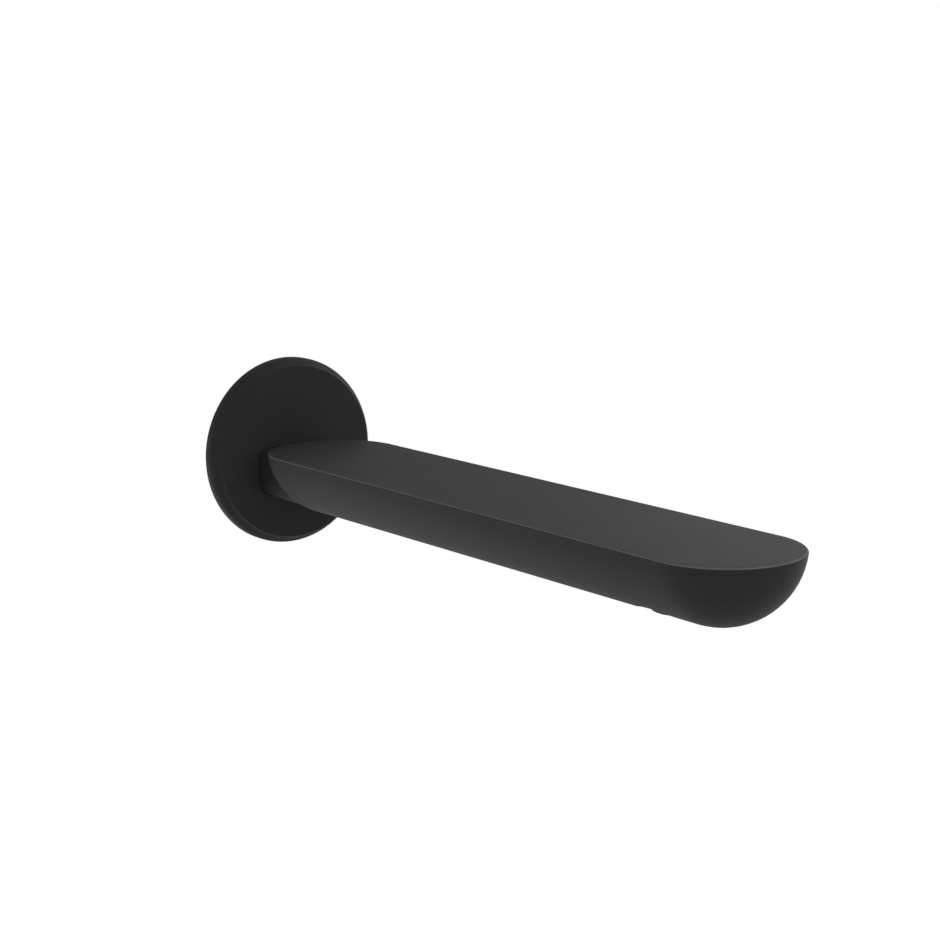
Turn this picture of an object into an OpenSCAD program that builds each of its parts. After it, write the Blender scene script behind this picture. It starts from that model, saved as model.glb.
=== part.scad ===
// Wall-mounted basin spout with a boat-shaped body, a round wall flange and a concealed aerator.
// X runs to the right when facing the wall, Y into the wall and Z up.
// The origin is the centre of the flange's back face, which lies on the wall.
// Distances called "out" are measured from the wall towards the tip of the spout.

/* [Spout body] */
// Distance from the wall to the tip
reach = 218.3; // [190:0.1:260]
// Width across the flat top
body_w = 42; // [38:0.5:48]
// Depth from the flat top down to the keel
body_depth = 19.4; // [18:0.1:20.8]
// Height of the flat top above the flange's centre
top_z = 3.3; // [2.8:0.1:5]
// Gap between the flange's face and the rearmost point of the flat top
body_gap = 1.5; // [1:0.1:4]
// Radius along the edge of the flat top
edge_r = 0.6; // [0.3:0.1:1.2]
// Wall of the casting round its waterway
shell_t = 2.6; // [2:0.1:3]
// Thickness of the casting under its flat top
roof_t = 2.6; // [2:0.1:3]
// Fillet between the waterway's ceiling and its walls
core_r = 1.5; // [0.8:0.1:2.5]

/* [Neck] */
// Width of the neck
neck_w = 28; // [24:0.5:31]
// Height of the neck
neck_h = 15.2; // [14.6:0.1:17]
// Drop of the neck's centre line below the flange's centre
neck_drop = 5.4; // [5:0.1:6]
// Radius on the neck's two lower corners
neck_low_r = 5; // [3:0.1:6]
// Radius on the neck's two upper corners
neck_high_r = 3.2; // [2:0.1:5]
// Gap between the neck's end and the wall
neck_set = 0.3; // [0.2:0.05:0.5]
// Outside diameter of the sleeve inside the body that holds the spigot
socket_d = 17.6; // [16.5:0.1:19]
// Thickness of the stop at the inner end of that sleeve
socket_stop_t = 2.5; // [1.5:0.1:4]
// Width of the waterway through that stop
stop_hole_d = 9; // [7.5:0.1:10]
// Gap between the spigot's end and that stop
stop_gap = 1; // [0.5:0.1:2]
// Chamfer at the socket's mouth, which leads the rings in
socket_chamfer = 0.8; // [0.5:0.1:1.2]

/* [Wall flange] */
// Diameter of the flange
flange_d = 60; // [56:0.5:70]
// Diameter of the flange's flat face
face_d = 55.2; // [53:0.1:56]
// Distance that the flange stands out from the wall
flange_t = 5.8; // [5.4:0.1:7]
// Straight part of the rim, next to the wall
rim_t = 1.6; // [1:0.1:2]
// Radius that rounds the rim
rim_r = 3; // [2.6:0.1:3.2]
// Lean of the hollow sweep where it meets the flat face, in degrees
cove_lean = 20; // [12:1:24]
// Thickness of the flange's front plate
plate_t = 2.4; // [1.8:0.1:2.8]
// Thickness of the rim outside the gasket
rim_wall = 2.5; // [2:0.1:3]
// Wall of the collar round the neck opening
collar_wall = 3.8; // [3.2:0.1:4.5]
// Gap between the flange's neck collar and the wall
collar_set = 0.6; // [0.4:0.1:1]

/* [Wall gasket] */
// Thickness of the gasket between flange and wall
gasket_t = 2.2; // [1.6:0.1:2.6]
// Width of the gasket's ring
gasket_w = 3.2; // [2.4:0.1:4]
// Width of the gasket's seat past its inner edge
gasket_land = 0.3; // [0:0.1:0.6]

/* [Neck seal] */
// Thickness of the seal ring in the neck opening
neck_seal_t = 2; // [1.6:0.1:2.2]
// Depth of the groove for the seal ring
neck_groove = 1.7; // [1.3:0.1:2]
// Wall between the flange's face and that groove
neck_seal_set = 1.6; // [1.2:0.1:1.9]

/* [Wall spigot] */
// Outside diameter of the pipe thread, G 1/2
thread_d = 20.955; // [20.955]
// Length of the pipe thread
thread_l = 13; // [11:0.5:16]
// Chamfer at the end of the thread
thread_chamfer = 1.2; // [0.8:0.1:1.8]
// Diameter of the relief between hexagon and thread
relief_d = 18.6; // [18:0.1:19]
// Length of that relief past the sealing washer
relief_past = 0.4; // [0.2:0.1:1]
// Chamfer at the start of the thread
relief_chamfer = 0.6; // [0.4:0.1:0.8]
// Width across the flats of the spigot's hexagon
hex_af = 24; // [22:1:27]
// Thickness of the hexagon
hex_t = 6; // [4:0.5:8]
// Lean of the hexagon's turned-down corners, in degrees
hex_lean = 30; // [15:1:35]
// Diameter of the spigot's smooth barrel
barrel_d = 12; // [11.5:0.1:12.2]
// Length of the barrel, out from the wall
barrel_l = 35; // [33:0.5:42]
// Chamfer at the end of the barrel
barrel_chamfer = 0.8; // [0.4:0.1:1.2]
// Waterway through the spigot
way_d = 7; // [6:0.1:7.4]
// Thickness of the sealing washer behind the hexagon
washer_t = 2; // [1.5:0.1:3]
// Outside diameter of that washer
washer_d = 25; // [24.5:0.1:27]

/* [Spigot rings] */
// Diameter at the bottom of the two ring grooves
ring_groove_d = 9.6; // [9.2:0.1:10]
// Width of a ring groove
ring_groove_w = 2.1; // [1.9:0.1:2.4]
// Width of a fitted ring, squeezed between groove and socket
ring_w = 1.8; // [1.5:0.05:1.85]
// Radius on the edges of a fitted ring
ring_r = 0.45; // [0.2:0.05:0.5]
// Distance from the barrel's end to the nearer groove's centre
ring_set = 3.5; // [3:0.1:4.5]
// Distance between the two ring grooves
ring_pitch = 4; // [3.6:0.1:5]

/* [Grub screw] */
// Thread diameter of the grub screw
screw_d = 5; // [4:0.5:5.5]
// Length of the grub screw
screw_l = 4; // [3.5:0.1:4.4]
// Chamfer at the screw's point
screw_point = 0.6; // [0.4:0.1:1]
// Chamfer at its outer end
screw_rim = 0.3; // [0.2:0.1:0.5]
// Width across the flats of its hexagon socket
screw_af = 2.5; // [2:0.1:2.8]
// Depth of its hexagon socket
screw_socket = 2; // [1.5:0.1:2.4]
// Distance of the grub screw from the spigot's end
screw_set = 13; // [12.6:0.1:13.4]
// Diameter at the bottom of the groove that the screw presses on
screw_groove_d = 9.4; // [9:0.1:10.4]
// Width of that groove
screw_groove_w = 5.8; // [5.6:0.1:6.4]

/* [Outlet] */
// Distance from the tip back to the outlet's centre
outlet_set = 34.9; // [30:0.1:45]
// Diameter of the recess round the nozzle
recess_d = 22; // [20.4:0.1:23]
// Depth of that recess above the keel
recess_depth = 3.6; // [3.3:0.1:4.2]
// Chamfer round the nozzle's seat in the recess
seat_chamfer = 0.3; // [0.2:0.1:0.5]
// Wall round the threaded hole for the aerator
outlet_wall = 3.2; // [2.6:0.1:4]
// Thickness of the ledge that the aerator's seal presses on
ledge_t = 1.5; // [1.2:0.1:2]
// Hole through that ledge
ledge_hole_d = 14; // [13.4:0.1:15]

/* [Aerator housing] */
// Thread diameter of the aerator housing
aerator_d = 18.5; // [18:0.1:19.2]
// Diameter of the nozzle that shows below
nozzle_d = 15.7; // [15.3:0.1:16.4]
// Distance of the nozzle's face above the keel
nozzle_set = 1.1; // [0.6:0.1:1.6]
// Radius on the nozzle's outer edge
nozzle_r = 0.8; // [0.4:0.1:0.9]
// Bore of the housing, which holds the insert
housing_bore_d = 14.8; // [14.4:0.1:15.2]
// Opening of the nozzle
nozzle_bore_d = 13.2; // [12.6:0.1:13.6]
// Thickness of the nozzle's inner lip
lip_t = 2; // [1.6:0.1:2.4]
// Number of notches for the fitting key
key_notches = 6; // [4:1:8]
// Width of a key notch
notch_w = 1.6; // [1.2:0.1:2]
// Depth of a key notch into the nozzle's lip
notch_depth = 0.6; // [0.4:0.1:0.7]
// Length of a key notch up from the nozzle's face
notch_l = 1; // [0.6:0.1:1.4]

/* [Aerator insert] */
// Thickness of the outlet honeycomb
comb_t = 2; // [1.6:0.1:2.4]
// Width of a honeycomb cell across its flats
cell_af = 1.25; // [1.1:0.05:1.5]
// Wall between honeycomb cells
cell_wall = 0.3; // [0.25:0.05:0.4]
// Rim round the honeycomb
comb_rim = 0.7; // [0.5:0.1:1]
// Height of the mixing sleeve
sleeve_t = 2.4; // [2:0.1:3]
// Depth of the air ways outside the mixing sleeve
air_gap = 0.6; // [0.4:0.1:0.8]
// Number of ribs that centre the mixing sleeve
sleeve_ribs = 8; // [6:1:12]
// Width of a centring rib
rib_w = 1; // [0.8:0.1:1.4]
// Throat of the mixing sleeve at its upper end
throat_d = 10.4; // [9.6:0.1:11]
// Mouth of the mixing sleeve at its lower end
mouth_d = 12.4; // [11.8:0.1:12.8]
// Height of the straight mouth
mouth_l = 0.6; // [0.4:0.1:0.8]
// Height of the cone between mouth and throat
cone_l = 1.2; // [0.8:0.1:1.4]
// Thickness of the jet plate
jet_t = 1.2; // [1:0.1:1.6]
// Number of jets
jets = 16; // [10:1:18]
// Diameter of a jet
jet_d = 0.9; // [0.7:0.05:1.1]
// Diameter of the circle of jets
jet_circle_d = 8.6; // [8:0.1:9]
// Depth of the hollow that feeds the jets
jet_hollow = 0.6; // [0.4:0.1:0.8]
// Thickness of the flow regulator's disc
regulator_t = 1.6; // [1.2:0.1:2]
// Diameter of the regulator's lobed core
core_d = 5.2; // [4.8:0.1:5.6]
// Height of that core above the disc
core_h = 2.2; // [1.8:0.1:2.4]
// Number of flutes in the core and of holes in the disc
flutes = 8; // [6:1:10]
// Diameter of a hole in the regulator's disc
regulator_hole_d = 1.2; // [1:0.1:1.4]
// Width of a flute in the core
flute_d = 0.6; // [0.4:0.1:0.8]
// Thickness of the regulator's rubber ring
flow_ring_t = 1.4; // [1.1:0.1:1.5]
// Thickness of the inlet screen's flange
screen_flange_t = 0.6; // [0.5:0.1:0.8]
// Outside diameter of the screen's basket
basket_d = 12.4; // [12:0.1:12.8]
// Height of the basket above its flange
basket_h = 3.3; // [2.9:0.1:3.5]
// Wall of the basket
basket_wall = 0.5; // [0.4:0.05:0.6]
// Number of slots round the basket
basket_slots = 20; // [14:1:24]
// Width of a slot
slot_w = 0.6; // [0.5:0.05:0.8]
// Number of circles of holes through the basket's top
basket_circles = 4; // [3:1:4]
// Thickness of the rubber seal above the housing
seal_t = 1.2; // [1:0.1:1.5]
// Hole through that seal
seal_hole_d = 13; // [12.9:0.1:13.3]

/* [Fits] */
// Gap round each piece that slides or screws into another
fit_gap = 0.05; // [0.03:0.01:0.08]
// Gap between the neck and the flange's opening
neck_gap = 0.2; // [0.15:0.05:0.3]

/* [Hidden] */
$fn = 96;

BLACK = "#262626";
BRASS = "#b8964f";
RUBBER = "#3a3a3a";
STEEL = "#a3a6a8";
RESIN = "#d8d8d2";
PALE_RESIN = "#b9c4c9";

// Body: the section is an arc through both top edges and the keel
half_w = body_w / 2;
section_r = (half_w * half_w + body_depth * body_depth) / (2 * body_depth);
keel_z = top_z - body_depth;
section_z = keel_z + section_r;
rear_out = flange_t + body_gap;
rear_centre = rear_out + half_w;
tip_centre = reach - half_w;
core_section_r = section_r - shell_t;
ceiling_z = top_z - roof_t;

// Neck and its socket
neck_top = -neck_drop + neck_h / 2;
neck_bottom = -neck_drop - neck_h / 2;
socket_bore_d = barrel_d + 2 * fit_gap;
socket_l = barrel_l + stop_gap;
relief_l = washer_t + relief_past;
inlet_in = hex_t - neck_set + relief_l + thread_l;
screw_hole_d = screw_d + 2 * fit_gap;

// Flange
flange_r = flange_d / 2;
face_r = face_d / 2;
gasket_r = flange_r - rim_wall - fit_gap;
gasket_seat_r = flange_r - rim_wall;
gasket_depth = gasket_t + fit_gap;
hollow_r = gasket_r - gasket_w - gasket_land;
hollow_depth = flange_t - plate_t;

// Outlet levels, from the nozzle's face up to the seat of the seal
outlet_out = reach - outlet_set;
nozzle_z = keel_z + nozzle_set;
recess_z = keel_z + recess_depth;
comb_z = nozzle_z + lip_t;
sleeve_z = comb_z + comb_t;
jet_z = sleeve_z + sleeve_t;
regulator_z = jet_z + jet_t;
screen_z = regulator_z + regulator_t;
housing_top_z = screen_z + screen_flange_t;
seat_z = housing_top_z + seal_t;
outlet_bore_d = aerator_d + 2 * fit_gap;
outlet_boss_d = outlet_bore_d + 2 * outlet_wall;
insert_d = housing_bore_d - 2 * fit_gap;

// Spigot stations, out from the wall
inner_ring_out = barrel_l - ring_set;
outer_ring_out = inner_ring_out - ring_pitch;
screw_out = barrel_l - screw_set;

// Distance that a cutting shape reaches past the surface it cuts
past = 1;

// Extrudes an outline drawn in X and Z outwards from the wall
module outwards(start, length) {
    translate([0, -start, 0])
        rotate([90, 0, 0])
            linear_extrude(height = length)
                children();
}

// Places a shape turned about Z so that its axis is the spigot's, with Z pointing out from the wall
module on_spigot_axis() {
    translate([0, 0, -neck_drop])
        rotate([90, 0, 0])
            children();
}

module at_outlet(z) {
    translate([0, -outlet_out, z])
        children();
}

module tube(outer_d, inner_d, h) {
    difference() {
        cylinder(d = outer_d, h = h);
        translate([0, 0, -past])
            cylinder(d = inner_d, h = h + 2 * past);
    }
}

// A disc's quarter that points to +X and +Y
module quarter_disc(r) {
    intersection() {
        circle(r = r);
        square(2 * r);
    }
}

// The neck's outline in X and Z, grown on all sides
module neck_outline(grow = 0) {
    w = neck_w / 2 + grow;
    top = neck_top + grow;
    bottom = neck_bottom - grow;
    high = neck_high_r + grow;
    low = neck_low_r + grow;
    polygon([
        [-w + high, top], [-w + high, top - high], [-w, top - high],
        [-w, bottom + low], [-w + low, bottom + low], [-w + low, bottom],
        [w - low, bottom], [w - low, bottom + low], [w, bottom + low],
        [w, top - high], [w - high, top - high], [w - high, top],
    ]);
    for (side = [0, 1]) mirror([side, 0]) {
        translate([w - high, top - high])
            quarter_disc(high);
        translate([w - low, bottom + low])
            mirror([0, 1])
                quarter_disc(low);
    }
}

// Right half of the body's section: an arc below a flat top, with a rounded edge between them
module half_section(arc_r, top, round_r) {
    centre = [0, section_z];
    round_z = top - round_r;
    round_x = sqrt(pow(arc_r - round_r, 2) - pow(section_z - round_z, 2));
    round_centre = [round_x, round_z];
    beyond = centre + 2 * (round_centre - centre);
    spread = 2 * round_r;
    slope = (round_centre - centre) / norm(round_centre - centre);
    intersection() {
        translate(centre)
            circle(r = arc_r);
        polygon([
            [0, top], [round_x, top], round_centre, beyond,
            [beyond[0], section_z - 2 * arc_r], [0, section_z - 2 * arc_r],
        ]);
    }
    intersection() {
        translate(round_centre)
            circle(r = round_r);
        polygon([
            round_centre, round_centre + [0, spread],
            round_centre + [spread, spread], round_centre + spread * slope,
        ]);
    }
}

// A boat form: the section carried along the spout, with both ends turned about vertical axes
module boat(arc_r, top, round_r) {
    outwards(rear_centre, tip_centre - rear_centre) {
        half_section(arc_r, top, round_r);
        mirror([1, 0])
            half_section(arc_r, top, round_r);
    }
    translate([0, -rear_centre, 0])
        rotate_extrude(angle = 180)
            half_section(arc_r, top, round_r);
    translate([0, -tip_centre, 0])
        rotate([0, 0, 180])
            rotate_extrude(angle = 180)
                half_section(arc_r, top, round_r);
}

// The cored waterway, which leaves the spigot's socket and the outlet's boss standing
module waterway() {
    difference() {
        boat(core_section_r, ceiling_z, core_r);
        on_spigot_axis()
            cylinder(d = socket_d, h = socket_l + socket_stop_t);
        at_outlet(keel_z)
            cylinder(d = outlet_boss_d, h = seat_z + ledge_t - keel_z);
    }
}

// The bored socket for the spigot and the tapped hole for the grub screw
module socket_holes() {
    on_spigot_axis() {
        translate([0, 0, -past])
            cylinder(d = socket_bore_d, h = socket_l + past);
        translate([0, 0, neck_set - past])
            cylinder(
                d1 = socket_bore_d + 2 * (socket_chamfer + past), d2 = socket_bore_d,
                h = socket_chamfer + past
            );
        cylinder(d = stop_hole_d, h = socket_l + socket_stop_t + past);
    }
    translate([0, -screw_out, keel_z - past])
        cylinder(d = screw_hole_d, h = -neck_drop - keel_z + past);
}

// The recess, the threaded hole and the waterway through the ledge
module outlet_holes() {
    at_outlet(keel_z - past)
        cylinder(d = recess_d, h = recess_depth + past);
    at_outlet(keel_z)
        cylinder(d = outlet_bore_d, h = seat_z - keel_z);
    at_outlet(recess_z - past)
        cylinder(
            d1 = outlet_bore_d + 2 * (seat_chamfer + past), d2 = outlet_bore_d,
            h = seat_chamfer + past
        );
    at_outlet(keel_z)
        cylinder(d = ledge_hole_d, h = seat_z + ledge_t + past - keel_z);
}

module spout_body() {
    color(BLACK)
        difference() {
            union() {
                boat(section_r, top_z, edge_r);
                outwards(neck_set, rear_centre - neck_set)
                    neck_outline();
            }
            waterway();
            socket_holes();
            outlet_holes();
        }
}

// The flange's outline from its axis to its rim: a rounded rim and a hollow sweep up to the flat face.
// The two arcs touch where the line between their centres crosses them.
module flange_outline() {
    rim_centre = [flange_r - rim_r, rim_t];
    edge = [face_r, flange_t];
    rise = flange_t - rim_t;
    inset = rim_centre[0] - face_r;
    cove_r = (inset * inset + rise * rise - rim_r * rim_r)
        / (2 * (rim_r + inset * cos(cove_lean) - rise * sin(cove_lean)));
    cove_centre = edge + cove_r * [cos(cove_lean), sin(cove_lean)];
    slope = (cove_centre - rim_centre) / norm(cove_centre - rim_centre);
    touch = rim_centre + rim_r * slope;
    difference() {
        polygon([
            [0, 0], [flange_r, 0], [flange_r, rim_t], rim_centre, touch, edge, [0, flange_t],
        ]);
        translate(cove_centre)
            circle(r = cove_r);
    }
    intersection() {
        translate(rim_centre)
            circle(r = rim_r);
        polygon([
            rim_centre, rim_centre + [2 * rim_r, 0], rim_centre + 2 * rim_r * [1, 1],
            rim_centre + 2 * rim_r * slope,
        ]);
    }
}

module wall_flange() {
    color(BLACK)
        difference() {
            union() {
                rotate([90, 0, 0])
                    rotate_extrude()
                        difference() {
                            flange_outline();
                            square([gasket_seat_r, gasket_depth]);
                            square([hollow_r, hollow_depth]);
                        }
                outwards(collar_set, flange_t - plate_t / 2 - collar_set)
                    neck_outline(collar_wall);
            }
            outwards(-past, flange_t + 2 * past)
                neck_outline(neck_gap);
            outwards(flange_t - neck_seal_set - neck_seal_t, neck_seal_t)
                neck_outline(neck_groove);
        }
}

module wall_gasket() {
    color(RUBBER)
        rotate([90, 0, 0])
            tube(2 * gasket_r, 2 * (gasket_r - gasket_w), gasket_t);
}

module neck_seal() {
    color(RUBBER)
        outwards(flange_t - neck_seal_set - neck_seal_t + fit_gap, neck_seal_t - 2 * fit_gap)
            difference() {
                neck_outline(neck_groove - fit_gap);
                neck_outline(fit_gap);
            }
}

// The spigot's turned form, drawn from its axis outwards, with Z out from the wall
module spigot_outline() {
    barrel_r = barrel_d / 2;
    thread_r = thread_d / 2;
    groove_r = ring_groove_d / 2;
    screw_r = screw_groove_d / 2;
    hex_back = neck_set - hex_t;
    thread_start = hex_back - relief_l;
    thread_end = thread_start - thread_l;
    groove_half = ring_groove_w / 2;
    screw_half = screw_groove_w / 2;
    polygon([
        [0, thread_end],
        [thread_r - thread_chamfer, thread_end], [thread_r, thread_end + thread_chamfer],
        [thread_r, thread_start - relief_chamfer], [thread_r - relief_chamfer, thread_start],
        [relief_d / 2, thread_start], [relief_d / 2, neck_set - hex_t / 2],
        [barrel_r, neck_set - hex_t / 2],
        [barrel_r, screw_out - screw_half], [screw_r, screw_out - screw_half],
        [screw_r, screw_out + screw_half], [barrel_r, screw_out + screw_half],
        [barrel_r, outer_ring_out - groove_half], [groove_r, outer_ring_out - groove_half],
        [groove_r, outer_ring_out + groove_half], [barrel_r, outer_ring_out + groove_half],
        [barrel_r, inner_ring_out - groove_half], [groove_r, inner_ring_out - groove_half],
        [groove_r, inner_ring_out + groove_half], [barrel_r, inner_ring_out + groove_half],
        [barrel_r, barrel_l - barrel_chamfer], [barrel_r - barrel_chamfer, barrel_l],
        [0, barrel_l],
    ]);
}

// A hexagon with its corners turned down at both ends
module turned_hexagon(af, h) {
    corner_d = af / cos(30);
    drop = (corner_d - af) / 2 * tan(hex_lean);
    intersection() {
        rotate([0, 0, 30])
            cylinder(d = corner_d, h = h, $fn = 6);
        rotate_extrude()
            polygon([
                [0, 0], [af / 2, 0], [corner_d / 2, drop],
                [corner_d / 2, h - drop], [af / 2, h], [0, h],
            ]);
    }
}

module wall_spigot() {
    color(BRASS)
        on_spigot_axis()
            difference() {
                union() {
                    rotate_extrude()
                        spigot_outline();
                    translate([0, 0, neck_set - hex_t])
                        turned_hexagon(hex_af, hex_t);
                }
                translate([0, 0, -inlet_in - past])
                    cylinder(d = way_d, h = inlet_in + barrel_l + 2 * past);
            }
}

module spigot_washer() {
    color(RUBBER)
        on_spigot_axis()
            translate([0, 0, neck_set - hex_t - washer_t])
                tube(washer_d, relief_d + 2 * fit_gap, washer_t);
}

// A rubber ring squeezed between its groove and the socket's bore
module squeezed_ring(out) {
    inner_r = ring_groove_d / 2 + fit_gap;
    outer_r = socket_bore_d / 2 - fit_gap;
    thick = outer_r - inner_r;
    color(RUBBER)
        on_spigot_axis()
            translate([0, 0, out])
                rotate_extrude()
                    translate([inner_r + thick / 2, 0]) {
                        square([thick - 2 * ring_r, ring_w], center = true);
                        for (side = [0, 1]) mirror([side, 0]) {
                            translate([thick / 2 - ring_r, -ring_w / 2 + ring_r])
                                square([ring_r, ring_w - 2 * ring_r]);
                            for (end = [0, 1]) mirror([0, end])
                                translate([thick / 2 - ring_r, ring_w / 2 - ring_r])
                                    quarter_disc(ring_r);
                        }
                    }
}

module inner_o_ring() squeezed_ring(inner_ring_out);

module outer_o_ring() squeezed_ring(outer_ring_out);

// The screw's point rests on the bottom of the spigot's groove
module grub_screw() {
    tip_z = -neck_drop - screw_groove_d / 2 - fit_gap;
    color(STEEL)
        translate([0, -screw_out, tip_z - screw_l])
            difference() {
                rotate_extrude()
                    polygon([
                        [0, 0], [screw_d / 2 - screw_rim, 0], [screw_d / 2, screw_rim],
                        [screw_d / 2, screw_l - screw_point], [screw_d / 2 - screw_point, screw_l],
                        [0, screw_l],
                    ]);
                translate([0, 0, -past])
                    cylinder(d = screw_af / cos(30), h = screw_socket + past, $fn = 6);
            }
}

// Drawn from the axis outwards, with Z at the nozzle's face
module housing_outline() {
    nozzle_r_out = nozzle_d / 2;
    shoulder = recess_z - nozzle_z;
    height = housing_top_z - nozzle_z;
    polygon([
        [nozzle_bore_d / 2, 0], [nozzle_r_out - nozzle_r, 0],
        [nozzle_r_out - nozzle_r, nozzle_r], [nozzle_r_out, nozzle_r],
        [nozzle_r_out, shoulder], [aerator_d / 2 - seat_chamfer, shoulder],
        [aerator_d / 2, shoulder + seat_chamfer],
        [aerator_d / 2, height], [housing_bore_d / 2, height],
        [housing_bore_d / 2, lip_t], [nozzle_bore_d / 2, lip_t],
    ]);
    translate([nozzle_r_out - nozzle_r, nozzle_r])
        mirror([0, 1])
            quarter_disc(nozzle_r);
}

module aerator_housing() {
    color(BLACK)
        at_outlet(nozzle_z)
            difference() {
                rotate_extrude()
                    housing_outline();
                for (i = [0 : key_notches - 1])
                    rotate([0, 0, 360 * i / key_notches])
                        translate([0, -notch_w / 2, -past])
                            cube([nozzle_bore_d / 2 + notch_depth, notch_w, notch_l + past]);
            }
}

module aerator_seal() {
    color(RUBBER)
        at_outlet(housing_top_z)
            tube(aerator_d - 2 * fit_gap, seal_hole_d, seal_t);
}

// A flanged basket with slots down its side and round holes through its top
module inlet_screen() {
    inside_d = basket_d - 2 * basket_wall;
    circle_pitch = inside_d / 2 / (basket_circles + 1);
    color(PALE_RESIN)
        at_outlet(screen_z)
            difference() {
                union() {
                    cylinder(d = insert_d, h = screen_flange_t);
                    cylinder(d = basket_d, h = screen_flange_t + basket_h);
                }
                translate([0, 0, -past])
                    cylinder(d = inside_d, h = past + screen_flange_t + basket_h - basket_wall);
                for (i = [0 : basket_slots - 1])
                    rotate([0, 0, 360 * i / basket_slots])
                        translate([inside_d / 2 - basket_wall, -slot_w / 2, screen_flange_t + basket_wall])
                            cube([3 * basket_wall, slot_w, basket_h - 3 * basket_wall]);
                for (turn = [1 : basket_circles])
                    for (i = [0 : 6 * turn - 1])
                        rotate([0, 0, 60 * i / turn])
                            translate([turn * circle_pitch, 0, screen_flange_t + basket_h - 2 * basket_wall])
                                cylinder(d = slot_w, h = 3 * basket_wall, $fn = 24);
            }
}

module regulator_ring() {
    section_d = flow_ring_t;
    color(RUBBER)
        at_outlet(screen_z + section_d / 2 + fit_gap)
            rotate_extrude()
                translate([core_d / 2 + fit_gap + section_d / 2, 0])
                    circle(d = section_d);
}

// A disc with a ring of holes round a fluted core, on which the rubber ring closes as the flow rises
module flow_regulator() {
    hole_circle_r = core_d / 2 + flow_ring_t / 2;
    color(RESIN)
        at_outlet(regulator_z)
            difference() {
                union() {
                    cylinder(d = insert_d, h = regulator_t);
                    cylinder(d = core_d, h = regulator_t + core_h);
                }
                for (i = [0 : flutes - 1])
                    rotate([0, 0, 360 * i / flutes]) {
                        translate([hole_circle_r, 0, -past])
                            cylinder(d = regulator_hole_d, h = regulator_t + 2 * past);
                        rotate([0, 0, 180 / flutes])
                            translate([core_d / 2, 0, regulator_t])
                                cylinder(d = flute_d, h = core_h + past);
                    }
            }
}

// A disc whose jets break the stream, hollowed on top to feed them evenly
module jet_plate() {
    color(PALE_RESIN)
        at_outlet(jet_z)
            difference() {
                cylinder(d = insert_d, h = jet_t);
                translate([0, 0, jet_t - jet_hollow])
                    cylinder(d = jet_circle_d + 2 * jet_d, h = jet_t);
                for (i = [0 : jets - 1])
                    rotate([0, 0, 360 * i / jets])
                        translate([jet_circle_d / 2, 0, -past])
                            cylinder(d = jet_d, h = jet_t + 2 * past, $fn = 32);
            }
}

// A widening throat, with ribs outside it that leave ways for the air
module mixing_sleeve() {
    sleeve_d = insert_d - 2 * air_gap;
    color(RESIN)
        at_outlet(sleeve_z)
            difference() {
                union() {
                    cylinder(d = sleeve_d, h = sleeve_t);
                    intersection() {
                        cylinder(d = insert_d, h = sleeve_t);
                        for (i = [0 : sleeve_ribs - 1])
                            rotate([0, 0, 360 * i / sleeve_ribs])
                                translate([sleeve_d / 2 - air_gap, -rib_w / 2, 0])
                                    cube([3 * air_gap, rib_w, sleeve_t]);
                    }
                }
                translate([0, 0, -past])
                    cylinder(d = mouth_d, h = past + mouth_l);
                translate([0, 0, mouth_l])
                    cylinder(d1 = mouth_d, d2 = throat_d, h = cone_l);
                cylinder(d = throat_d, h = sleeve_t + past);
            }
}

// Whole hexagonal cells only, in rows that leave a round rim
module outlet_honeycomb() {
    pitch = cell_af + cell_wall;
    row_pitch = pitch * cos(30);
    cell_d = cell_af / cos(30);
    inside_r = insert_d / 2 - comb_rim;
    rows = floor(inside_r / row_pitch);
    columns = ceil(inside_r / pitch);
    color(RESIN)
        at_outlet(comb_z)
            linear_extrude(height = comb_t)
                difference() {
                    circle(d = insert_d);
                    for (row = [-rows : rows])
                        for (column = [-columns : columns]) {
                            shift = (row % 2 == 0) ? 0 : pitch / 2;
                            place = [column * pitch + shift, row * row_pitch];
                            if (norm(place) + cell_d / 2 <= inside_r)
                                translate(place)
                                    rotate(30)
                                        circle(d = cell_d, $fn = 6);
                        }
                }
}

spout_body();
wall_flange();
wall_gasket();
neck_seal();
wall_spigot();
spigot_washer();
inner_o_ring();
outer_o_ring();
grub_screw();
aerator_housing();
aerator_seal();
inlet_screen();
regulator_ring();
flow_regulator();
jet_plate();
mixing_sleeve();
outlet_honeycomb();
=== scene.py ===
import math

import bmesh
import bpy
from mathutils import Matrix, Vector


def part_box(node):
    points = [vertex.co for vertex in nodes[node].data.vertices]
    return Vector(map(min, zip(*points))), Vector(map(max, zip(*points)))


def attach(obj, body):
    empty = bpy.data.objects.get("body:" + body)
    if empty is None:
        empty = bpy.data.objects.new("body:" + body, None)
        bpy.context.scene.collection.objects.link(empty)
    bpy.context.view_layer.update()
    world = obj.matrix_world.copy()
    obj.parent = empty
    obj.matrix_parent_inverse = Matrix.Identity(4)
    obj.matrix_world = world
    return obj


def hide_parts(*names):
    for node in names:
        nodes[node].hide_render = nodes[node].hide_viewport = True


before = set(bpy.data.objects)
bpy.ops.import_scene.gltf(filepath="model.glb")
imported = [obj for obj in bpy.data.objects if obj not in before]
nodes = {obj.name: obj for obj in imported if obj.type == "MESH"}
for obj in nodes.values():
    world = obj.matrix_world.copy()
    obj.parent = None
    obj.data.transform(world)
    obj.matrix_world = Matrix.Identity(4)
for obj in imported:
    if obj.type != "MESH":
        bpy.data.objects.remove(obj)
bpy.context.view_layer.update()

MM = 0.001

# Camera, fitted to the outlines of the flange and the body: millimetres, and angles in radians
CAMERA_PLACE = (-327.43, -524.07, 112.91)
CAMERA_HEADING = 0.6541
CAMERA_PITCH = 0.1932
CAMERA_ROLL = -0.0102
CAMERA_LENS = 74.184
SENSOR_WIDTH = 36.0


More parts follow.
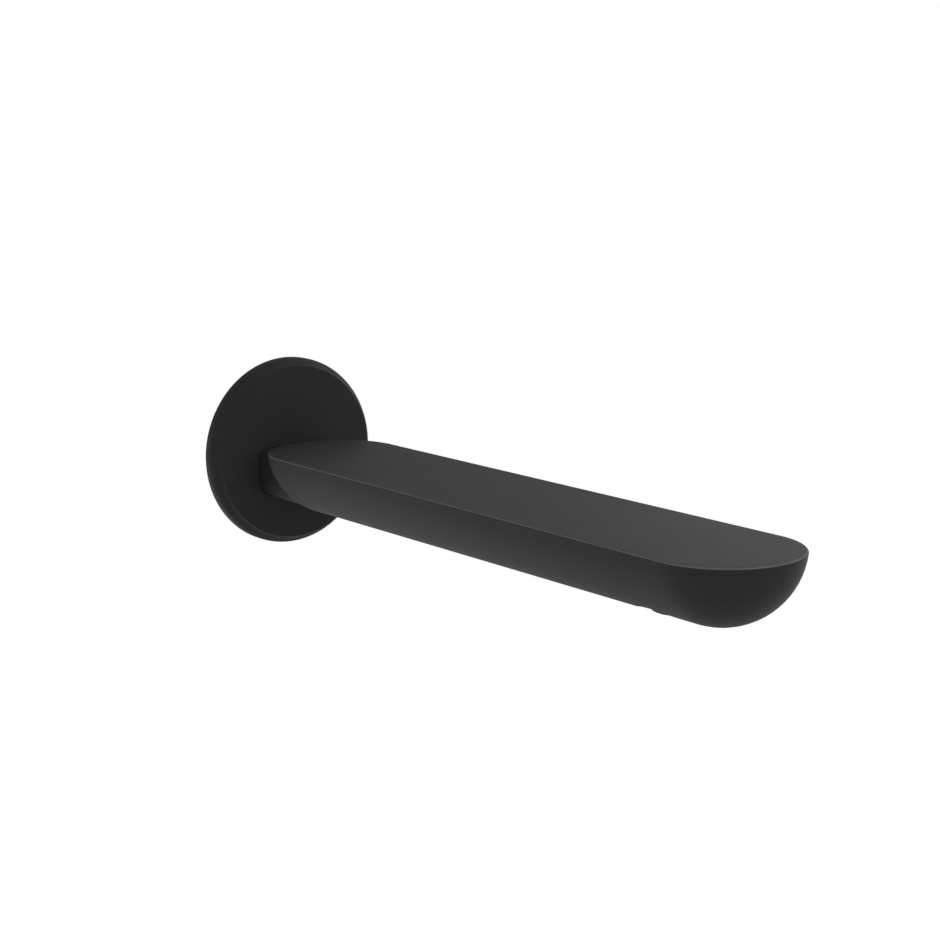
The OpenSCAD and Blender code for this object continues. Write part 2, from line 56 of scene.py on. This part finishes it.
def make_camera():
    forward = Vector((
        math.sin(CAMERA_HEADING) * math.cos(CAMERA_PITCH),
        math.cos(CAMERA_HEADING) * math.cos(CAMERA_PITCH),
        -math.sin(CAMERA_PITCH),
    ))
    level = Vector((math.cos(CAMERA_HEADING), -math.sin(CAMERA_HEADING), 0.0))
    upright = level.cross(forward)
    right = level * math.cos(CAMERA_ROLL) + upright * math.sin(CAMERA_ROLL)
    up = upright * math.cos(CAMERA_ROLL) - level * math.sin(CAMERA_ROLL)
    turn = Matrix((right, up, -forward)).transposed()
    data = bpy.data.cameras.new("camera")
    data.sensor_width = SENSOR_WIDTH
    data.lens = CAMERA_LENS
    data.clip_start = 0.01
    data.clip_end = 50.0
    camera = bpy.data.objects.new("camera", data)
    camera.matrix_world = Matrix.Translation(Vector(CAMERA_PLACE) * MM) @ turn.to_4x4()
    bpy.context.scene.collection.objects.link(camera)
    bpy.context.scene.camera = camera


# Node-tree helpers
class Tree:
    def __init__(self, tree):
        self.tree = tree

    def node(self, kind, **settings):
        made = self.tree.nodes.new(kind)
        for name, value in settings.items():
            setattr(made, name, value)
        return made

    def link(self, out, into):
        self.tree.links.new(out, into)

    def put(self, value, into):
        if isinstance(value, bpy.types.NodeSocket):
            self.link(value, into)
        else:
            into.default_value = value

    def math(self, operation, a, b=0.0):
        made = self.node("ShaderNodeMath", operation=operation)
        self.put(a, made.inputs[0])
        self.put(b, made.inputs[1])
        return made.outputs[0]

    def spread(self, value, low, high, to_low=0.0, to_high=1.0):
        made = self.node("ShaderNodeMapRange")
        for given, socket in zip((value, low, high, to_low, to_high), made.inputs):
            self.put(given, socket)
        return made.outputs[0]

    # 1 between low and high and 0 outside them, with soft ends
    def band(self, value, low, high, soft):
        above_low = self.spread(value, low - soft, low)
        below_high = self.spread(value, high, high + soft, 1.0, 0.0)
        return self.math("MULTIPLY", above_low, below_high)

    def length(self, a, b):
        squares = self.math("ADD", self.math("MULTIPLY", a, a), self.math("MULTIPLY", b, b))
        return self.math("SQRT", squares)

    def mix(self, share, a, b):
        made = self.node("ShaderNodeMix", data_type="RGBA")
        self.put(share, made.inputs["Factor"])
        self.put(a, made.inputs[6])
        self.put(b, made.inputs[7])
        return made.outputs[2]

    def split(self, place):
        made = self.node("ShaderNodeSeparateXYZ")
        self.link(place, made.inputs[0])
        return made.outputs

    def noise(self, place, size, detail=2.0, roughness=0.5):
        made = self.node("ShaderNodeTexNoise")
        self.link(place, made.inputs["Vector"])
        made.inputs["Scale"].default_value = 1.0 / size
        made.inputs["Detail"].default_value = detail
        made.inputs["Roughness"].default_value = roughness
        return made.outputs[0]

    def bump(self, height, depth, before=None):
        made = self.node("ShaderNodeBump")
        made.inputs["Strength"].default_value = 1.0
        made.inputs["Distance"].default_value = depth
        self.link(height, made.inputs["Height"])
        if before is not None:
            self.link(before, made.inputs["Normal"])
        return made.outputs[0]


def new_material(name):
    made = bpy.data.materials.new(name)
    made.use_nodes = True
    made.node_tree.nodes.clear()
    tree = Tree(made.node_tree)
    shader = tree.node("ShaderNodeBsdfPrincipled")
    tree.link(shader.outputs[0], tree.node("ShaderNodeOutputMaterial").inputs["Surface"])
    place = tree.node("ShaderNodeTexCoord").outputs["Object"]
    return made, tree, shader.inputs, place


def grey(value):
    return (value, value, value, 1.0)


# 1 along the upper half of the small round edge of the body's flat top, where a highlight is painted, and 0
# elsewhere
def painted_highlight_band(tree, place):
    flat_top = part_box("spout_body")[1].z
    flange_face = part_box("wall_flange")[0].y
    across = tree.split(place)
    on_edge = tree.band(across["Z"], flat_top - 0.35 * MM, flat_top - 0.05 * MM, 0.04 * MM)
    past_flange = tree.spread(across["Y"], flange_face - 1.1 * MM, flange_face - 1.2 * MM)
    return tree.math("MULTIPLY", on_edge, past_flange)


# Matte powder coat: fine orange peel, slow changes of sheen and a fine pale grain. A highlight is painted as
# a paler strip on the small round edge of the body's flat top.
def black_coat():
    made, tree, shader, place = new_material("black_coat")
    slow = tree.noise(place, 9 * MM, 3.0)
    grain = tree.noise(place, 0.12 * MM, 2.0)
    tint = tree.math("ADD", tree.math("MULTIPLY", slow, 0.5), tree.math("MULTIPLY", grain, 0.5))
    coat = tree.mix(tint, (0.0105, 0.0105, 0.0108, 1.0), (0.0135, 0.0135, 0.0138, 1.0))
    # Painted highlight: a paler strip of coat along the upper half of the top's small round edge
    painted_highlight = tree.math("MULTIPLY", painted_highlight_band(tree, place), tree.spread(slow, 0.3, 0.7, 0.8, 1.0))
    tree.link(tree.mix(painted_highlight, coat, (0.080, 0.080, 0.081, 1.0)), shader["Base Color"])
    tree.link(tree.spread(slow, 0.3, 0.7, 0.72, 0.74), shader["Roughness"])
    shader["Specular IOR Level"].default_value = 0.1
    peel = tree.bump(tree.noise(place, 0.55 * MM, 1.0), 0.004 * MM)
    tree.link(tree.bump(grain, 0.0015 * MM, peel), shader["Normal"])
    return made


# Sizes of the threaded pieces in millimetres, as in the solids that they stand for
PIPE_PITCH = 1.814
PIPE_R = 10.4775
PIPE_L = 13.0
RELIEF_R = 9.3
RELIEF_L = 2.4
HEXAGON_HALF = 12.0
HEXAGON_L = 6.0
HEXAGON_LEAN = 30
BARREL_R = 6.0
BARREL_CHAMFER = 0.8
WAY_R = 3.5
RING_GROOVE_R = 4.8
RING_GROOVE_W = 2.1
RING_SET = 3.5
RING_PITCH = 4.0
SCREW_GROOVE_R = 4.7
SCREW_GROOVE_W = 5.8
SCREW_SET = 13.0
SCREW_PITCH = 0.8
SCREW_R = 2.5
SCREW_SOCKET_HALF = 1.25
SCREW_SOCKET_L = 2.0


def middle(name):
    low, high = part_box(name)
    return (low + high) / 2


SPIGOT_AXIS_Z = middle("wall_spigot").z


# Turned brass, with tool rings along the spigot's axis, and darker towards the roots of the thread
def brass():
    made, tree, shader, place = new_material("brass")
    across = tree.split(place)
    along_axis = tree.node("ShaderNodeCombineXYZ")
    tree.link(across["Y"], along_axis.inputs["X"])
    rings = tree.noise(along_axis.outputs[0], 0.09 * MM, 3.0, 0.7)
    clouds = tree.noise(place, 4 * MM, 4.0)
    from_axis = tree.length(across["X"], tree.math("SUBTRACT", across["Z"], SPIGOT_AXIS_Z))
    thread_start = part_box("wall_spigot")[1].y - PIPE_L * MM
    on_thread = tree.spread(across["Y"], thread_start - 0.1 * MM, thread_start + 0.3 * MM)
    deep = tree.spread(from_axis, (PIPE_R - 0.18) * MM, (PIPE_R - 0.98) * MM)
    root = tree.math("MULTIPLY", deep, on_thread)
    clean = tree.mix(clouds, (0.66, 0.47, 0.19, 1.0), (0.58, 0.40, 0.155, 1.0))
    # The brass is made darker towards the roots of the thread
    root_darkened = tree.mix(tree.math("MULTIPLY", root, 0.55), clean, (0.24, 0.155, 0.06, 1.0))
    tree.link(root_darkened, shader["Base Color"])
    shader["Metallic"].default_value = 1.0
    tree.link(tree.spread(clouds, 0.3, 0.7, 0.24, 0.36), shader["Roughness"])
    tree.link(tree.bump(rings, 0.004 * MM), shader["Normal"])
    return made


# Black rubber with a faint grey bloom
def rubber():
    made, tree, shader, place = new_material("rubber")
    bloom = tree.noise(place, 3 * MM, 5.0, 0.6)
    grain = tree.noise(place, 0.15 * MM, 2.0)
    bloomed = tree.spread(bloom, 0.35, 0.75)
    tree.link(tree.mix(bloomed, (0.016, 0.016, 0.017, 1.0), (0.034, 0.034, 0.035, 1.0)), shader["Base Color"])
    tree.link(tree.spread(bloom, 0.3, 0.7, 0.62, 0.78), shader["Roughness"])
    shader["Specular IOR Level"].default_value = 0.4
    tree.link(tree.bump(grain, 0.006 * MM), shader["Normal"])
    return made


# Stainless steel with fine scratches and slow stains
def steel():
    made, tree, shader, place = new_material("steel")
    scratches = tree.noise(place, 0.08 * MM, 3.0)
    stains = tree.noise(place, 1.2 * MM, 3.0)
    tree.link(tree.mix(stains, grey(0.5), (0.42, 0.42, 0.43, 1.0)), shader["Base Color"])
    shader["Metallic"].default_value = 1.0
    tree.link(tree.spread(scratches, 0.3, 0.7, 0.28, 0.42), shader["Roughness"])
    tree.link(tree.bump(scratches, 0.002 * MM), shader["Normal"])
    return made


# Moulded acetal: a slightly waxy surface with faint flow marks
def resin(name, pale, deep):
    made, tree, shader, place = new_material(name)
    flow = tree.noise(place, 2.5 * MM, 4.0, 0.6)
    grain = tree.noise(place, 0.1 * MM, 2.0)
    tree.link(tree.mix(flow, pale, deep), shader["Base Color"])
    tree.link(tree.spread(flow, 0.3, 0.7, 0.34, 0.46), shader["Roughness"])
    shader["Subsurface Weight"].default_value = 0.15
    shader["Subsurface Radius"].default_value = (0.6 * MM, 0.5 * MM, 0.45 * MM)
    shader["Subsurface Scale"].default_value = 1.0
    tree.link(tree.bump(grain, 0.003 * MM), shader["Normal"])
    return made


# Mesh helpers, in millimetres. A ring form is a closed outline of (radius, station) carried round an axis.
# The outline may change with the share of the turn.
def ring_form(name, columns, outline, spot, finish):
    points = []
    for column in range(columns + 1):
        share = column / columns
        line = outline(share)
        points += [Vector(spot(radius, 2 * math.pi * share, station)) * MM for radius, station in line]
    rows = len(points) // (columns + 1)
    faces = []
    for column in range(columns):
        for row in range(rows):
            a = column * rows + row
            b = column * rows + (row + 1) % rows
            faces.append((a, b, b + rows, a + rows))
    mesh = bpy.data.meshes.new(name)
    mesh.from_pydata(points, [], faces)
    form = bmesh.new()
    form.from_mesh(mesh)
    bmesh.ops.remove_doubles(form, verts=form.verts, dist=0.002 * MM)
    bmesh.ops.recalc_face_normals(form, faces=form.faces)
    form.to_mesh(mesh)
    form.free()
    mesh.shade_smooth()
    mesh.set_sharp_from_angle(angle=math.radians(32))
    mesh.materials.append(finish)
    piece = bpy.data.objects.new(name, mesh)
    bpy.context.scene.collection.objects.link(piece)
    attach(piece, "root")
    return piece


# One pitch of a pipe thread with round crests and roots, as (distance along the axis from the crest's middle,
# depth below the crest)
def pipe_thread(pitch):
    depth, round_r, flank = 0.640327 * pitch, 0.137329 * pitch, math.radians(27.5)
    reach = round_r * math.cos(flank)
    drop = round_r * (1 - math.sin(flank))
    halfway = round_r - math.sqrt(round_r ** 2 - (0.6 * reach) ** 2)
    crest = [(0.0, 0.0), (0.6 * reach, halfway), (reach, drop)]
    root = [(pitch / 2 - along, depth - low) for along, low in reversed(crest)]
    rise = crest + [(pitch / 4, depth / 2)] + root
    return rise + [(pitch - along, low) for along, low in rise[-2:0:-1]]


# One pitch of a metric thread, with flat crests
def metric_thread(pitch):
    depth = 0.6134 * pitch
    rise = [(0.0, 0.0), (pitch / 16, 0.0), (pitch * 0.40, depth * 0.96), (pitch / 2, depth)]
    return rise + [(pitch - along, low) for along, low in rise[-2:0:-1]]


# A thread's outline at one share of the turn. Its stations move by one pitch a turn, up or down by way.
def thread_line(share, pitch, profile, crest_r, low, high, low_chamfer, high_chamfer, way):
    begin = low - pitch * (1 + way * (0.5 - share))
    line = []
    for turn in range(math.ceil((high - low) / pitch) + 2):
        for along, depth in profile:
            station = begin + turn * pitch + along
            held = min(max(station, low), high)
            radius = crest_r - (depth if held == station else 0.0)
            limit = min(crest_r - low_chamfer + held - low, crest_r - high_chamfer + high - held)
            line.append((min(radius, limit), held))
    return line


# Distance from the axis to the side of a hexagon that has a corner at share 0
def hexagon_r(half_width, share):
    turn = math.degrees(2 * math.pi * share) % 60
    return half_width / math.cos(math.radians(turn - 30))


# A groove in the barrel, from its side nearer the barrel's end
def groove(centre, width, radius):
    low, high = centre - width / 2, centre + width / 2
    return [(BARREL_R, high), (radius, high), (radius, low), (BARREL_R, low)]


# The wall spigot. Its stations run from the wall plane out towards the tip.
def wall_spigot_piece(finish):
    profile = pipe_thread(PIPE_PITCH)
    low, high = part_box("wall_spigot")
    barrel_end = -low.y / MM
    thread_end = -high.y / MM
    thread_start = thread_end + PIPE_L
    hexagon_back = thread_start + RELIEF_L
    hexagon_front = hexagon_back + HEXAGON_L
    ring = barrel_end - RING_SET

    def outline(share):
        corner = hexagon_r(HEXAGON_HALF, share)
        drop = (corner - HEXAGON_HALF) * math.tan(math.radians(HEXAGON_LEAN))
        line = [(WAY_R, barrel_end), (BARREL_R - BARREL_CHAMFER, barrel_end)]
        line += [(BARREL_R, barrel_end - BARREL_CHAMFER)]
        line += groove(ring, RING_GROOVE_W, RING_GROOVE_R)
        line += groove(ring - RING_PITCH, RING_GROOVE_W, RING_GROOVE_R)
        line += groove(barrel_end - SCREW_SET, SCREW_GROOVE_W, SCREW_GROOVE_R)
        line += [(BARREL_R, hexagon_front), (HEXAGON_HALF, hexagon_front)]
        line += [(corner, hexagon_front - drop), (corner, hexagon_back + drop), (HEXAGON_HALF, hexagon_back)]
        line += [(RELIEF_R, hexagon_back), (RELIEF_R, thread_start)]
        thread = thread_line(
            share, PIPE_PITCH, profile, PIPE_R, thread_end, thread_start,
            low_chamfer=1.2, high_chamfer=0.6, way=-1,
        )
        return line + thread[::-1] + [(WAY_R, thread_end)]

    def spot(radius, turn, station):
        return (radius * math.sin(turn), -station, radius * math.cos(turn) + SPIGOT_AXIS_Z / MM)

    piece = ring_form("threaded_spigot", 144, outline, spot, finish)
    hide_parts("wall_spigot")


# The grub screw. Its stations run up from its outer end.
def grub_screw_piece(finish):
    profile = metric_thread(SCREW_PITCH)
    low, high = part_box("grub_screw")
    centre_y = middle("grub_screw").y / MM
    foot = low.z / MM
    length = (high.z - low.z) / MM

    def outline(share):
        socket = hexagon_r(SCREW_SOCKET_HALF, share)
        line = [(socket, 0.0), (SCREW_R - 0.3, 0.0)]
        line += thread_line(
            share, SCREW_PITCH, profile, SCREW_R, 0.0, length,
            low_chamfer=0.3, high_chamfer=0.6, way=1,
        )
        return line + [(0.0, length), (0.0, SCREW_SOCKET_L), (socket, SCREW_SOCKET_L)]

    def spot(radius, turn, station):
        return (radius * math.cos(turn), radius * math.sin(turn) + centre_y, station + foot)

    piece = ring_form("threaded_grub_screw", 72, outline, spot, finish)
    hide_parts("grub_screw")


make_camera()

COAT = black_coat()
BRASS = brass()
RUBBER = rubber()
STEEL = steel()
WHITE_RESIN = resin("white_resin", (0.78, 0.78, 0.75, 1.0), (0.72, 0.72, 0.68, 1.0))
GREY_RESIN = resin("grey_resin", (0.45, 0.50, 0.53, 1.0), (0.40, 0.45, 0.48, 1.0))

FINISH = {
    "spout_body": COAT,
    "wall_flange": COAT,
    "wall_gasket": RUBBER,
    "neck_seal": RUBBER,
    "wall_spigot": BRASS,
    "spigot_washer": RUBBER,
    "inner_o_ring": RUBBER,
    "outer_o_ring": RUBBER,
    "grub_screw": STEEL,
    "aerator_housing": COAT,
    "aerator_seal": RUBBER,
    "inlet_screen": GREY_RESIN,
    "regulator_ring": RUBBER,
    "flow_regulator": WHITE_RESIN,
    "jet_plate": GREY_RESIN,
    "mixing_sleeve": WHITE_RESIN,
    "outlet_honeycomb": WHITE_RESIN,
}
for name, finish in FINISH.items():
    slots = nodes[name].data.materials
    slots.clear()
    slots.append(finish)

wall_spigot_piece(BRASS)
grub_screw_piece(STEEL)

# Floor, far enough below that the object's shadow on it falls outside the photograph's frame: half its width
# and its height in metres, its colour, and the glow that makes it look white
FLOOR_HALF = 60.0
FLOOR_Z = -0.9
FLOOR_COLOUR = 0.8
FLOOR_GLOW = 0.76


def make_floor():
    mesh = bpy.data.meshes.new("floor")
    corners = [(x * FLOOR_HALF, y * FLOOR_HALF, FLOOR_Z) for x, y in ((-1, -1), (1, -1), (1, 1), (-1, 1))]
    mesh.from_pydata(corners, [], [(0, 1, 2, 3)])
    floor = bpy.data.objects.new("floor", mesh)
    bpy.context.scene.collection.objects.link(floor)
    made = bpy.data.materials.new("floor")
    made.use_nodes = True
    made.node_tree.nodes.clear()
    tree = Tree(made.node_tree)
    plain = tree.node("ShaderNodeBsdfDiffuse")
    plain.inputs["Color"].default_value = grey(FLOOR_COLOUR)
    glow = tree.node("ShaderNodeEmission")
    tree.link(tree.math("MULTIPLY", seen_ray(tree), FLOOR_GLOW), glow.inputs["Strength"])
    both = tree.node("ShaderNodeAddShader")
    tree.link(plain.outputs[0], both.inputs[0])
    tree.link(glow.outputs[0], both.inputs[1])
    tree.link(both.outputs[0], tree.node("ShaderNodeOutputMaterial").inputs["Surface"])
    mesh.materials.append(made)


# 1 for a ray that shows the surroundings, to the camera or in a reflection, and 0 for one that only lights
def seen_ray(tree):
    path = tree.node("ShaderNodeLightPath")
    seen = tree.math("MAXIMUM", path.outputs["Is Camera Ray"], path.outputs["Is Glossy Ray"])
    return tree.math("MAXIMUM", seen, path.outputs["Is Transmission Ray"])


# White surroundings where they are seen, and a low even light from them
WORLD_LIGHT = 0.3


def make_world():
    world = bpy.data.worlds.new("studio")
    bpy.context.scene.world = world
    world.use_nodes = True
    world.node_tree.nodes.clear()
    tree = Tree(world.node_tree)
    back = tree.node("ShaderNodeBackground")
    back.inputs["Color"].default_value = grey(1.0)
    tree.link(tree.spread(seen_ray(tree), 0.0, 1.0, WORLD_LIGHT, 1.0), back.inputs["Strength"])
    tree.link(back.outputs[0], tree.node("ShaderNodeOutputWorld").inputs["Surface"])


# Soft round panels: distance out along the spout of the point that a panel faces, heading clockwise from +Y
# and height in degrees, distance and width in metres, and the light that this point gets face on
PANELS = {
    "front_left": (0.1, -153, 14, 1.0, 1.4, 3.1),
    "front_high": (0.1, 175, 49, 1.0, 1.4, 0.9),
    "back_left_low": (0.1, -35, -27, 0.8, 1.1, 2.8),
    "right_low": (0.1, 102, -20, 0.8, 1.0, 1.3),
    "right": (0.1, 90, 30, 1.0, 0.5, 1.25),
    "tip": (0.2, 52, 12, 0.32, 0.13, 0.42),
}


def make_panels():
    for name, (out, heading, height, away, width, light) in PANELS.items():
        heading, height = math.radians(heading), math.radians(height)
        way = Vector((
            math.sin(heading) * math.cos(height),
            math.cos(heading) * math.cos(height),
            math.sin(height),
        ))
        data = bpy.data.lights.new(name, "AREA")
        data.shape = "DISK"
        data.size = width
        data.energy = math.pi * away ** 2 * light
        panel = bpy.data.objects.new(name, data)
        panel.location = Vector((0.0, -out, 0.0)) + way * away
        panel.rotation_euler = way.to_track_quat("Z", "Y").to_euler()
        panel.visible_camera = False
        bpy.context.scene.collection.objects.link(panel)


make_floor()
make_world()
make_panels()

bpy.context.scene.view_settings.view_transform = "Standard"
